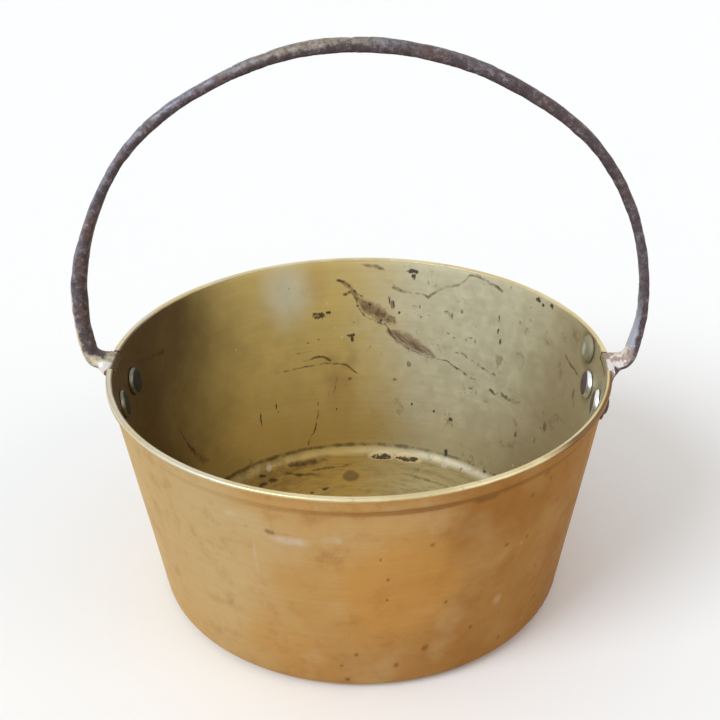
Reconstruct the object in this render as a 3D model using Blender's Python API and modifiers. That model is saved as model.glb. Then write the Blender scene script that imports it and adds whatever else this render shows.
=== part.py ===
"""Brass jam kettle: a wide conical preserving pan with a forged iron bail riveted to its wall.

Units are metres and +Z is up. The origin is the centre of the underside. The handle stands in
the plane y = 0. A place on the wall is given by how far it lies along the rim from the handle's
plane (positive towards the back) and how far it lies below the rim.
"""

import math

import bmesh
import bpy
from mathutils import Vector, geometry

# Pan
RIM_DIAMETER = 0.3050
PAN_HEIGHT = 0.1500
WALL_LEAN = math.radians(9.0)
SHEET = 0.0018
LIP_PROUD = 0.0018
LIP_HEIGHT = 0.0030
LIP_ROUND = 0.0008
COLLAR_DEPTH = 0.0100
COLLAR_STEP = 0.0003
CORNER_RADIUS = 0.0100
PLANISH_MARGIN = 0.0130
PAN_STEPS = 96
CORNER_STEPS = 5

# Bow of the handle, measured on its outer face: how far it stands out beyond the lip on each
# side, and its height and middle above the rim
BOW_OVERHANG = 0.0195
BOW_RISE = 0.1607
BOW_CENTRE = 0.0340
FOOT_RADIUS = 0.0100
BAR_CORNER_SHARE = 0.42
BAR_WIDTH = 0.0098
BOW_RINGS = 72
FOOT_RINGS = 6
ARM_RINGS = 4
CORNER_POINTS = 4

# Thickness of the hand-drawn bar at places round the bow, in degrees from the right foot to the left
BAR_THICKNESS = (
    (-12.0, 0.0080),
    (-1.0, 0.0057),
    (7.0, 0.0053),
    (30.0, 0.0061),
    (58.0, 0.0071),
    (94.0, 0.0080),
    (120.0, 0.0059),
    (134.0, 0.0066),
    (144.0, 0.0058),
    (155.0, 0.0064),
    (176.0, 0.0098),
    (192.0, 0.0098),
)

# How far the hand-bent bow stands out of a true half ellipse, at places round it
BOW_SET = (
    (-12.0, -0.0003),
    (4.0, 0.0),
    (38.0, 0.0024),
    (60.0, 0.0),
    (94.0, 0.0),
    (120.0, -0.0034),
    (135.0, -0.0022),
    (156.0, -0.0032),
    (178.0, 0.0),
    (192.0, 0.0008),
)

# Arms, which lie in a notch of the lip and widen to a shoulder outside it
ARM_THICKNESS = 0.0046
ARM_ROOT_WIDTH = 0.0240
ARM_SHOULDER_WIDTH = 0.0275
ARM_WAIST_WIDTH = 0.0175
WEB_FILL = 0.45
WEB_REACH = 1.3
ARM_SET_FORWARD = 0.0040
ARM_FLAT = 0.0010
ARM_OVERCUT = 0.0012

# Sides of the pan, as the sign of x
SIDES = {"right": 1, "left": -1}

# Palms, which lie on the outside of the wall. A tip is a round corner next to the lip, given by
# its place along the rim from the handle's plane and its depth below the rim.
PALM_THICKNESS = 0.0024
PALM_EDGE = 0.0009
PALM_TIPS = {
    "right": ((-0.0210, 0.0100),),
    "left": ((-0.0120, 0.0100), (0.0060, 0.0100)),
}
PALM_TIP_RADIUS = 0.0060
PALM_MARGIN = 0.0095
PALM_GRID = 0.0050
NECK_SWELL = 0.0036
NECK_REACH = 0.0220

# Rivets: place along the rim from the handle's plane, depth below the rim
RIVET_PLACES = {
    "right": {
        "rim": (0.0300, 0.0095),
        "back": (0.0168, 0.0277),
        "front": (-0.0155, 0.0235),
    },
    "left": {
        "back": (0.0168, 0.0264),
        "front": (-0.0160, 0.0249),
    },
}
SHANK_DIAMETER = 0.0062
HEAD_DIAMETER = 0.0178
HEAD_HEIGHT = 0.0031
HEAD_RIM = 0.0007
TAIL_DIAMETER = 0.0120
TAIL_HEIGHT = 0.0021
RIVET_STEPS = 24
DOME_STEPS = 4

# Fits
SEAT_GAP = 0.0003
HOLE_GAP = 0.0003

# Sizes that follow from the ones above
RIM_RADIUS = RIM_DIAMETER / 2
BOW_SPAN = RIM_DIAMETER + 2 * BOW_OVERHANG
SLOPE = math.tan(WALL_LEAN)
WALL_RADIUS = RIM_RADIUS - LIP_PROUD
SHEET_ACROSS = SHEET / math.cos(WALL_LEAN)
BORE_RADIUS = WALL_RADIUS - SHEET_ACROSS
PALM_SEAT = COLLAR_STEP + SEAT_GAP
PALM_TOP = LIP_HEIGHT + SEAT_GAP


def clear_scene():
    for old in list(bpy.data.objects):
        bpy.data.objects.remove(old, do_unlink=True)


def new_collection(name):
    collection = bpy.data.collections.new(name)
    bpy.context.scene.collection.children.link(collection)
    return collection


def metal(name, colour, roughness):
    material = bpy.data.materials.new(name)
    material.use_nodes = True
    shader = material.node_tree.nodes["Principled BSDF"]
    shader.inputs["Base Color"].default_value = (*colour, 1.0)
    shader.inputs["Roughness"].default_value = roughness
    shader.inputs["Metallic"].default_value = 1.0
    material.diffuse_color = (*colour, 1.0)
    return material


def add_object(name, mesh, collection, material=None):
    thing = bpy.data.objects.new(name, mesh)
    collection.objects.link(thing)
    if material:
        mesh.materials.append(material)
    return thing


def mesh_from(work, name):
    """Turns a finished bmesh into a mesh that is shaded smooth but for its edges."""
    mesh = bpy.data.meshes.new(name)
    work.to_mesh(mesh)
    work.free()
    mesh.shade_smooth()
    mesh.set_sharp_from_angle(angle=math.radians(35))
    return mesh


def profile_object(name, points, steps, collection, material=None):
    """A turned piece: the profile runs from the axis out and down its outer side to the axis."""
    mesh = bpy.data.meshes.new(name)
    edges = [(i, i + 1) for i in range(len(points) - 1)]
    mesh.from_pydata([(x, 0.0, z) for x, z in points], edges, [])
    thing = add_object(name, mesh, collection, material)
    screw = thing.modifiers.new("Turn", "SCREW")
    screw.steps = steps
    screw.render_steps = steps
    screw.use_merge_vertices = True
    screw.merge_threshold = 0.00001
    screw.use_smooth_shade = True
    return thing


def arc(centre_x, centre_z, radius, start, end, count):
    """Points of an arc from one angle in degrees to another, both ends included."""
    points = []
    for i in range(count + 1):
        angle = math.radians(start + (end - start) * i / count)
        points.append((centre_x + radius * math.cos(angle), centre_z + radius * math.sin(angle)))
    return points


def cut(thing, cutter, name, operation="DIFFERENCE"):
    boolean = thing.modifiers.new(name, "BOOLEAN")
    boolean.operation = operation
    boolean.solver = "EXACT"
    boolean.object = cutter


def even_shading(thing):
    """Lets the large faces set the normals, so that small faces at holes leave no streaks."""
    shading = thing.modifiers.new("Even shading", "WEIGHTED_NORMAL")
    shading.weight = 100
    shading.keep_sharp = True


def as_cutter(thing):
    thing.hide_render = True
    thing.display_type = "WIRE"
    return thing


def wall_point(side, along, depth, out):
    """A point near the wall at one foot: out is measured square to the wall's outer face."""
    angle = along / WALL_RADIUS
    radius = WALL_RADIUS - SLOPE * depth + out * math.cos(WALL_LEAN)
    height = PAN_HEIGHT - depth - out * math.sin(WALL_LEAN)
    return Vector((SIDES[side] * radius * math.cos(angle), radius * math.sin(angle), height))


def all_rivets():
    """Side, name of the place, place along the rim and depth of every rivet."""
    for side, places in RIVET_PLACES.items():
        for word, (along, depth) in places.items():
            yield side, word, along, depth


def corner_arc(radius, wall_x, floor_z):
    """The round between a level face and the leaning wall, from the level face up."""
    turn = 90.0 - math.degrees(WALL_LEAN)
    reach = radius * math.tan(math.radians(turn / 2))
    centre_x = wall_x - reach
    return arc(centre_x, floor_z + radius, radius, -90.0, -90.0 + turn, CORNER_STEPS)


def pan_profile():
    """Half of the pan's section, from the middle of the floor over the lip and down to the base.

    The wall has a ring below the lowest rivet, which ends the planished band round the palms.
    """
    rim = PAN_HEIGHT
    shelf = WALL_RADIUS + COLLAR_STEP
    lip = LIP_ROUND
    band = max(depth for side, word, along, depth in all_rivets()) + PLANISH_MARGIN
    floor_x = BORE_RADIUS - SLOPE * (PAN_HEIGHT - SHEET)
    inside = [(0.0, SHEET)] + corner_arc(CORNER_RADIUS - SHEET, floor_x, SHEET)
    inside += [(BORE_RADIUS - SLOPE * band, rim - band), (BORE_RADIUS - SLOPE * lip, rim - lip)]
    top_inner = arc(BORE_RADIUS + lip, rim - lip, lip, 180.0, 90.0, 2)[1:]
    top_outer = arc(RIM_RADIUS - lip, rim - lip, lip, 90.0, 0.0, 3)
    under = arc(RIM_RADIUS - lip, rim - LIP_HEIGHT + lip, lip, 0.0, -90.0, 3)
    collar_end = COLLAR_DEPTH + 2 * COLLAR_STEP
    collar = [
        (shelf - SLOPE * LIP_HEIGHT, rim - LIP_HEIGHT),
        (shelf - SLOPE * COLLAR_DEPTH, rim - COLLAR_DEPTH),
        (WALL_RADIUS - SLOPE * collar_end, rim - collar_end),
        (WALL_RADIUS - SLOPE * band, rim - band),
    ]
    outside = list(reversed(corner_arc(CORNER_RADIUS, WALL_RADIUS - SLOPE * PAN_HEIGHT, 0.0)))
    return inside + top_inner + top_outer + under + collar + outside + [(0.0, 0.0)]


def box(name, low, high, collection):
    work = bmesh.new()
    bmesh.ops.create_cube(work, size=1.0)
    size = Vector(high) - Vector(low)
    middle = (Vector(high) + Vector(low)) / 2
    bmesh.ops.scale(work, vec=size, verts=work.verts)
    bmesh.ops.translate(work, vec=middle, verts=work.verts)
    return add_object(name, mesh_from(work, name), collection)


def lip_notches(collection):
    """One bar across the whole pan that opens the lip where both arms lie."""
    half_width = ARM_ROOT_WIDTH / 2 + SEAT_GAP
    floor = PAN_HEIGHT - ARM_THICKNESS - SEAT_GAP
    reach = RIM_RADIUS + LIP_HEIGHT
    low = (-reach, -ARM_SET_FORWARD - half_width, floor)
    high = (reach, -ARM_SET_FORWARD + half_width, PAN_HEIGHT + LIP_HEIGHT)
    return as_cutter(box("lip_notches", low, high, collection))


def rivet_holes(collection):
    """Pins that are as long as the rivets, for the holes in the wall and the palms."""
    work = bmesh.new()
    for side, word, along, depth in all_rivets():
        start = wall_point(side, along, depth, -SHEET - HEAD_HEIGHT)
        end = wall_point(side, along, depth, PALM_SEAT + PALM_THICKNESS + TAIL_HEIGHT)
        made = bmesh.ops.create_cone(
            work,
            cap_ends=True,
            segments=RIVET_STEPS,
            radius1=SHANK_DIAMETER / 2 + HOLE_GAP,
            radius2=SHANK_DIAMETER / 2 + HOLE_GAP,
            depth=(end - start).length,
        )["verts"]
        turn = Vector((0.0, 0.0, 1.0)).rotation_difference(end - start)
        bmesh.ops.rotate(work, matrix=turn.to_matrix(), verts=made)
        bmesh.ops.translate(work, vec=(start + end) / 2, verts=made)
    bmesh.ops.recalc_face_normals(work, faces=work.faces)
    return as_cutter(add_object("rivet_holes", mesh_from(work, "rivet_holes"), collection))


def make_pan(parts, notches, holes):
    brass = metal("pan_brass", (0.60, 0.40, 0.16), 0.38)
    pan = profile_object("pan", pan_profile(), PAN_STEPS, parts, brass)
    cut(pan, notches, "Lip notches")
    cut(pan, holes, "Rivet holes")
    even_shading(pan)


def smooth_between(value, stations):
    """Reads a station table at a value, easing from each station to the next."""
    if value <= stations[0][0]:
        return stations[0][1]
    for (a, first), (b, second) in zip(stations, stations[1:]):
        if value <= b:
            share = (value - a) / (b - a)
            ease = share * share * (3.0 - 2.0 * share)
            return first + (second - first) * ease
    return stations[-1][1]


def bow_frame(angle):
    """A point on the bow's outer face and its outward normal, both in the handle's plane."""
    half_span = BOW_SPAN / 2
    turn = math.radians(angle)
    point = Vector((half_span * math.cos(turn), BOW_CENTRE + BOW_RISE * math.sin(turn)))
    normal = Vector((BOW_RISE * math.cos(turn), half_span * math.sin(turn))).normalized()
    return point + normal * smooth_between(angle, BOW_SET), normal


def foot_frame(sign):
    """The place on the bow where the foot's round meets it and the arm's underside."""
    low, high = -40.0, 0.0
    for _ in range(40):
        middle = (low + high) / 2
        angle = middle if sign > 0 else 180.0 - middle
        point, normal = bow_frame(angle)
        if point.y - normal.y * FOOT_RADIUS < FOOT_RADIUS - ARM_THICKNESS:
            low = middle
        else:
            high = middle
    return angle, point, normal


def bar_ring(work, point, normal, thickness, width, forward):
    """One section of the bar: a rectangle with round corners, its outer face at the point."""
    centre = point - normal * (thickness / 2)
    radius = BAR_CORNER_SHARE * min(thickness, width)
    ring = []
    for corner, (su, sv) in enumerate(((1, 1), (-1, 1), (-1, -1), (1, -1))):
        for i in range(CORNER_POINTS):
            turn = math.radians(90.0 * corner + 90.0 * i / (CORNER_POINTS - 1))
            u = su * (thickness / 2 - radius) + radius * math.cos(turn)
            v = sv * (width / 2 - radius) + radius * math.sin(turn) - forward
            place = centre + normal * u
            ring.append(work.verts.new((place.x, v, PAN_HEIGHT + place.y)))
    return ring


def section_between(sign, inner, outer, width, forward):
    """A section from the bar's inner face to its outer face, for points with x measured outwards."""
    across = outer - inner
    normal = Vector((sign * across.x, across.y)).normalized()
    return Vector((sign * outer.x, outer.y)), normal, across.length, width, forward


def arm_sections(sign):
    """Sections of one arm and foot from the wall out, on the side where x has the sign given.

    The underside turns up round a small radius. The upper face sweeps up in a longer curve from
    the lip to the inside of the leg, which leaves a web in the inner corner.
    """
    angle, point, normal = foot_frame(sign)
    out = Vector((abs(normal.x), normal.y))
    leg_outer = Vector((abs(point.x), point.y))
    leg_inner = leg_outer - out * smooth_between(angle, BAR_THICKNESS)
    tilt = math.atan2(out.y, out.x)
    centre = leg_outer - out * FOOT_RADIUS
    root = BORE_RADIUS * math.cos(ARM_ROOT_WIDTH / BORE_RADIUS) - ARM_OVERCUT
    shoulder = RIM_RADIUS + SEAT_GAP
    corner = Vector((leg_inner.x + leg_inner.y * math.tan(tilt), 0.0))
    web_x = max(corner.x - WEB_REACH * (leg_inner - corner).length, shoulder + ARM_FLAT)
    web_start = Vector((web_x, 0.0))
    bend = corner.lerp((web_start + leg_inner) / 2, WEB_FILL)
    under = Vector((0.0, -ARM_THICKNESS))
    sections = []
    for x in (root, shoulder):
        top = Vector((x, 0.0))
        sections.append(section_between(sign, top, top + under, ARM_ROOT_WIDTH, ARM_SET_FORWARD))
    first = Vector((shoulder + SEAT_GAP, 0.0))
    heel = Vector((centre.x, 0.0)) + under
    for i in range(ARM_RINGS):
        share = i / ARM_RINGS
        width = ARM_SHOULDER_WIDTH + (ARM_WAIST_WIDTH - ARM_SHOULDER_WIDTH) * share
        upper = first.lerp(web_start, share)
        lower = (first + under).lerp(heel, share)
        forward = ARM_SET_FORWARD * (1.0 - share)
        sections.append(section_between(sign, upper, lower, width, forward))
    for i in range(FOOT_RINGS):
        share = i / FOOT_RINGS
        turn = -math.pi / 2 + (tilt + math.pi / 2) * share
        lower = centre + Vector((math.cos(turn), math.sin(turn))) * FOOT_RADIUS
        upper = web_start.lerp(bend, share).lerp(bend.lerp(leg_inner, share), share)
        ease = share * share * (3.0 - 2.0 * share)
        width = ARM_WAIST_WIDTH + (BAR_WIDTH - ARM_WAIST_WIDTH) * ease
        sections.append(section_between(sign, upper, lower, width, 0.0))
    return sections


def make_bar(collection, material):
    """The arms, feet, legs and bow, drawn out of one bar and lofted in one run."""
    start = foot_frame(SIDES["right"])[0]
    end = foot_frame(SIDES["left"])[0]
    sections = arm_sections(SIDES["right"])
    for i in range(BOW_RINGS + 1):
        angle = start + (end - start) * i / BOW_RINGS
        point, normal = bow_frame(angle)
        sections.append((point, normal, smooth_between(angle, BAR_THICKNESS), BAR_WIDTH, 0.0))
    sections += reversed(arm_sections(SIDES["left"]))
    work = bmesh.new()
    rings = [bar_ring(work, *section) for section in sections]
    count = len(rings[0])
    for first, second in zip(rings, rings[1:]):
        for i in range(count):
            j = (i + 1) % count
            work.faces.new((first[i], first[j], second[j], second[i]))
    work.faces.new(rings[0])
    work.faces.new(rings[-1])
    bmesh.ops.recalc_face_normals(work, faces=work.faces)
    return add_object("handle", mesh_from(work, "handle"), collection, material)


def palm_outline(side):
    """Flat outline of a palm as a hull of discs round its rivets and its tips."""
    discs = [(along, depth, PALM_MARGIN) for along, depth in RIVET_PLACES[side].values()]
    discs += [(along, depth, PALM_TIP_RADIUS) for along, depth in PALM_TIPS[side]]
    points = []
    for along, depth, radius in discs:
        for along_rim, down in arc(along, depth, radius, 0.0, 345.0, 23):
            points.append(Vector((along_rim, max(down, PALM_TOP))))
    order = geometry.convex_hull_2d(points)
    return [points[i] for i in order]


def neck_swell(along, depth):
    """How much thicker the palm is near the arm that it grows out of."""
    away = math.hypot(along, depth - PALM_TOP) / NECK_REACH
    share = max(0.0, 1.0 - away * away)
    return NECK_SWELL * share * share


def grid_cuts(work, axis, low, high):
    """Cuts the flat palm into strips, so that it can follow the round wall."""
    normal = [0.0, 0.0, 0.0]
    normal[axis] = 1.0
    count = int((high - low) / PALM_GRID)
    for i in range(1, count + 1):
        place = [0.0, 0.0, 0.0]
        place[axis] = low + (high - low) * i / (count + 1)
        geom = work.verts[:] + work.edges[:] + work.faces[:]
        bmesh.ops.bisect_plane(work, geom=geom, dist=1e-6, plane_co=place, plane_no=normal)


def make_palm(side, collection):
    """One palm: a flat plate with eased edges, gridded, swollen at the neck and wrapped."""
    outline = palm_outline(side)
    work = bmesh.new()
    face = work.faces.new([work.verts.new((p.x, p.y, 0.0)) for p in outline])
    bmesh.ops.recalc_face_normals(work, faces=[face])
    raised = bmesh.ops.extrude_face_region(work, geom=[face])["geom"]
    top = [v for v in raised if isinstance(v, bmesh.types.BMVert)]
    bmesh.ops.translate(work, vec=(0.0, 0.0, PALM_THICKNESS), verts=top)
    edges = [e for e in work.edges if all(v in top for v in e.verts)]
    bmesh.ops.bevel(
        work,
        geom=edges,
        offset=PALM_EDGE,
        segments=2,
        profile=0.5,
        affect="EDGES",
        material=-1,
    )
    alongs = [p.x for p in outline]
    downs = [p.y for p in outline]
    grid_cuts(work, 0, min(alongs), max(alongs))
    grid_cuts(work, 1, min(downs), max(downs))
    bmesh.ops.triangulate(work, faces=work.faces)
    for vert in work.verts:
        along, depth, out = vert.co
        swell = neck_swell(along, depth) * out / PALM_THICKNESS
        vert.co = wall_point(side, along, depth, PALM_SEAT + out + swell)
    bmesh.ops.recalc_face_normals(work, faces=work.faces)
    name = f"palm_{side}"
    return as_cutter(add_object(name, mesh_from(work, name), collection))


def make_bore(collection):
    """The pan's inside as a solid, which trims the arms' ends flush with the wall."""
    spare = LIP_HEIGHT
    top = (BORE_RADIUS + SLOPE * spare, PAN_HEIGHT + spare)
    below = PAN_HEIGHT / 2
    low = (BORE_RADIUS - SLOPE * below, PAN_HEIGHT - below)
    points = [(0.0, top[1]), top, low, (0.0, low[1])]
    return as_cutter(profile_object("bore", points, PAN_STEPS, collection))


def make_handle(parts, cutters, holes):
    iron = metal("handle_iron", (0.105, 0.085, 0.078), 0.55)
    handle = make_bar(parts, iron)
    for side in SIDES:
        cut(handle, make_palm(side, cutters), f"Palm {side}", "UNION")
    cut(handle, make_bore(cutters), "Flush ends")
    cut(handle, holes, "Rivet holes")
    even_shading(handle)


def dome(base_radius, height, steps):
    """Points of a spherical cap from its crown to its edge: distance from axis, height."""
    sphere = (base_radius ** 2 + height ** 2) / (2 * height)
    widest = math.asin(min(1.0, base_radius / sphere))
    points = []
    for i in range(steps + 1):
        turn = widest * i / steps
        points.append((sphere * math.sin(turn), sphere * math.cos(turn) - (sphere - height)))
    return points


def rivet_profile():
    """Turned about the rivet's own axis, whose +Z points out of the pan; zero is the wall."""
    head = HEAD_DIAMETER / 2
    tail = TAIL_DIAMETER / 2
    shank = SHANK_DIAMETER / 2
    hollow = head ** 2 / (2 * BORE_RADIUS)
    under_head = -SHEET - SEAT_GAP - hollow
    under_tail = PALM_SEAT + PALM_THICKNESS + SEAT_GAP
    points = [(r, under_tail + h) for r, h in dome(tail, TAIL_HEIGHT, DOME_STEPS)]
    points += [(shank, under_tail), (shank, under_head), (head, under_head)]
    crown = dome(head, HEAD_HEIGHT - HEAD_RIM, DOME_STEPS)
    points += [(r, under_head - HEAD_RIM - h) for r, h in reversed(crown)]
    return points


def make_rivets(parts):
    steel = metal("rivet_metal", (0.52, 0.53, 0.52), 0.32)
    first = None
    for side, word, along, depth in all_rivets():
        name = f"rivet_{side}_{word}"
        if first is None:
            rivet = profile_object(name, rivet_profile(), RIVET_STEPS, parts, steel)
            first = rivet
        else:
            rivet = first.copy()
            rivet.name = name
            parts.objects.link(rivet)
        rivet.location = wall_point(side, along, depth, 0.0)
        angle = along / WALL_RADIUS
        round_axis = angle if SIDES[side] > 0 else math.pi - angle
        rivet.rotation_euler = (0.0, math.pi / 2 + WALL_LEAN, round_axis)


def main():
    clear_scene()
    parts = new_collection("jam_kettle")
    cutters = new_collection("jam_kettle_cutters")
    holes = rivet_holes(cutters)
    make_pan(parts, lip_notches(cutters), holes)
    make_handle(parts, cutters, holes)
    make_rivets(parts)
    stand = bpy.data.objects.new("jam_kettle_stand", None)
    parts.objects.link(stand)
    for thing in parts.objects:
        if thing is not stand:
            thing.parent = stand


main()
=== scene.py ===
"""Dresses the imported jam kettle: worn brass pan, forged iron handle and its rivets.

Everything is in metres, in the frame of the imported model, with +Z up. A place on the wall is
given by its azimuth round the pan, counted from +X towards +Y, and its height.
"""

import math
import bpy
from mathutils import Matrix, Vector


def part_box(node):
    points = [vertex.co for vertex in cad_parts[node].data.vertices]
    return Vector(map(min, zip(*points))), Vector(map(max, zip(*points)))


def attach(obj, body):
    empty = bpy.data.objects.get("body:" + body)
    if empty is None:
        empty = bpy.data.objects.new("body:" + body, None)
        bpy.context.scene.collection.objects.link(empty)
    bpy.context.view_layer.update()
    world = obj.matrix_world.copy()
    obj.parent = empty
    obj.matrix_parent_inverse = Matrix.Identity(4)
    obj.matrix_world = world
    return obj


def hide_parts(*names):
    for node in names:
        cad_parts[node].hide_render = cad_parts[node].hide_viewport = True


bl_info = {
    "name": "Jam Kettle",
    "version": (1, 0, 0),
    "blender": (4, 5, 0),
    "location": "3D View > Sidebar > Jam Kettle",
    "description": "Builds the worn brass pan, the forged handle, the rivets and the studio",
    "category": "Object",
}

from functools import cached_property

import bmesh
import bpy
from bpy.props import FloatProperty, FloatVectorProperty, IntProperty, PointerProperty
from mathutils import Matrix, Vector, noise

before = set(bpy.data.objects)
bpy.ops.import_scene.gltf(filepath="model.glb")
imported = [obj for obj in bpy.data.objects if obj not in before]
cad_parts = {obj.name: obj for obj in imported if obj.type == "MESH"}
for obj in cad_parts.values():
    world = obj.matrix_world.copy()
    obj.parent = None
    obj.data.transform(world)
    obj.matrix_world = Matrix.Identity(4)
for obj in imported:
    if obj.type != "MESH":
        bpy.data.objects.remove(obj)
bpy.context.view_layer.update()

MM = 0.001
PAN_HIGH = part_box("pan")[1]
RIM_RADIUS = PAN_HIGH.y
PAN_HEIGHT = PAN_HIGH.z

# Rivets: side, degrees round the wall from the handle's plane to the back, depth below the rim
RIVETS = {
    "right_rim": (1, 11.406, 9.5 * MM),
    "right_back": (1, 6.387, 27.7 * MM),
    "right_front": (1, -5.893, 23.5 * MM),
    "left_back": (-1, 6.387, 26.4 * MM),
    "left_front": (-1, -6.083, 24.9 * MM),
}

# The arms of the handle, where they lie in the notches of the lip
ARM_HALF_WIDTH = 12 * MM
ARM_FORWARD = 4 * MM
ARM_THICKNESS = 4.6 * MM

# A face of the pan takes the inside's brass from this share of its normal
FACES_IN = 0.3

# A rust pit starts at this level of its noise, and the gain brings its middle to about 1
PIT_FROM = 0.18
PIT_GAIN = 3

# Marks on the handle have this share of their depth up to the rim, and all of it this far above
ARM_SHARE = 0.25
FREE_ABOVE = 12 * MM

# Rivets: the steps and the gap between rings of their mesh, the depth of dents in millimetres,
# where the shank starts at both seats, and how far back of the middle the grime lies on heads at
# the right and the grime with painted shade on heads at the left, in head radii
RIVET_STEPS = 48
RIVET_RING_GAP = 0.8 * MM
DENT = 0.12
SEAT = 0.1 * MM
GRIME_AND_SHADE_BACK = {1: 0.17, -1: -0.06}

# The side of the handle that faces the light, where the iron is painted paler as painted light
UPPER_LEFT = Vector((-0.62, -0.25, 0.74))

# Where each lamp stands, and its tint
WINDOW = ((-2.6, -2.1, 2.5), (0.86, 0.93, 1.0))
ROOM = ((2.6, -1.2, 2.0), (1.0, 0.88, 0.74))

# The camera's place, and its turn in degrees
CAMERA_PLACE = (0.02347, -0.67198, 0.50875)
CAMERA_TURN = (61.7865, 0.6472, 1.5878)


def tone(red, green, blue):
    """A colour as linear light, from the 0 to 255 values that a screen shows."""
    return tuple(
        ((c / 255 + 0.055) / 1.055) ** 2.4 if c > 10 else c / 3294 for c in (red, green, blue)
    )


def number(name, description, default, **settings):
    return FloatProperty(name=name, description=description, default=default, **settings)


def length(name, description, default):
    """A length that is given in millimetres."""
    return number(name, description, default * MM, unit="LENGTH", precision=5)


def angle(name, description, default):
    return number(name, description, math.radians(default), subtype="ANGLE")


def colour(name, description, default):
    return FloatVectorProperty(
        name=name, description=description, default=default, subtype="COLOR", min=0.0, max=1.0
    )


class JAMKETTLE_PG_pan(bpy.types.PropertyGroup):
    lean: angle("Wall lean", "How far the wall leans outwards", 9)
    sheet: length("Sheet", "Thickness of the brass", 1.8)
    lip_proud: length("Lip proud", "How far the rolled lip stands out of the wall", 1.8)
    lip_height: length("Lip height", "Height of the rolled lip", 3)
    lip_round: length("Lip round", "Rounding of the lip's edges", 0.8)
    collar_depth: length("Collar depth", "Where the turned edge of the lip ends", 10)
    collar_step: length("Collar step", "How far the turned edge stands out", 0.3)
    corner: length("Corner", "Outer radius between wall and base", 10)
    ripple: length("Ripple", "Depth of the slow unevenness of the raised sheet", 0.35)
    ring_gap: length("Ring gap", "Height between rings of the mesh on the wall", 5)
    steps: IntProperty(name="Steps", description="Steps round the pan", default=240, min=24)
    outside: colour("Outside", "Golden brass of the outside", tone(190, 149, 90))
    # Painted light: the pale sheen of the left side of the outside, also laid as pale blots
    outside_sheen_and_scour: colour("Outside, pale", "Scoured brass of the outside", tone(197, 170, 124))
    # Brown brass, also laid as painted shade and warm reflection at the right and low down
    outside_brown_and_shade: colour("Outside, brown", "Toned brass of the outside", tone(150, 100, 46))
    inside: colour("Inside", "Olive brass of the inside", tone(221, 197, 126))
    # Painted light: the paler, greyer brass of the lit right side of the inside
    inside_lit_grey: colour("Inside, grey", "Scoured, greyer brass of the inside", tone(221, 217, 188))
    inside_brown: colour("Inside, brown", "Shaded side of the inside", tone(94, 72, 40))
    inside_dull: colour("Inside, dull", "Dull brass near the rivets", tone(170, 158, 124))
    lip: colour("Lip", "Bright brass of the worn lip", tone(222, 211, 170))
    burn: colour("Burn", "Burnt-on sugar", tone(54, 34, 22))
    film: colour("Film", "Thin brown film of old jam", tone(130, 92, 70))


class JAMKETTLE_PG_handle(bpy.types.PropertyGroup):
    grain: length("Grain", "Size of the mesh cells that the forging is rebuilt with", 0.7)
    hammer: length("Hammer", "Depth of the hammer's marks", 0.35)
    pit: length("Pits", "Depth of the rust pits", 0.22)
    scale: colour("Scale", "Dark forge scale", tone(82, 68, 70))
    # Painted light: the pale bluish iron of the lit sides, also in rubbed patches
    lit_and_rubbed: colour("Rubbed", "Iron rubbed by hands", tone(128, 127, 140))
    rust: colour("Rust", "Dark brown rust", tone(104, 78, 66))
    scoured: colour("Scoured", "Bright arms, scoured with the pan", tone(226, 218, 214))


class JAMKETTLE_PG_rivets(bpy.types.PropertyGroup):
    head: length("Head", "Diameter of the heads inside the pan", 17.8)
    head_height: length("Head height", "Height of the heads", 3.1)
    tail: length("Tail", "Diameter of the peened ends", 12)
    tail_height: length("Tail height", "Height of the peened ends", 2.1)
    shank: length("Shank", "Diameter of the shanks", 6.2)
    gap: length("Gap", "Room at the seats and in the holes", 0.3)
    seam: length("Seam", "Room round the arms in the notches of the lip", 0.06)
    palm: length("Palm", "Thickness of the handle's palms", 2.4)
    metal: colour("Metal", "Bright worn steel", tone(230, 238, 236))
    grime: colour("Grime", "Brown grime on and round the heads", tone(66, 40, 33))


class JAMKETTLE_PG_stage(bpy.types.PropertyGroup):
    floor_radius: length("Floor radius", "Radius of the floor", 6000)
    floor: colour("Floor", "Colour of the floor", (0.93, 0.93, 0.93))
    key: number("Key", "Strength of the window light", 1.85)
    fill: number("Fill", "Strength of the warm light", 0.30)
    spread: angle("Spread", "How wide both lights look from the pan", 30)
    sky: number("Sky", "Level of the light from all round", 0.70)
    lens: number("Lens", "Focal length", 62.41, unit="CAMERA", min=10.0)


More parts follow.
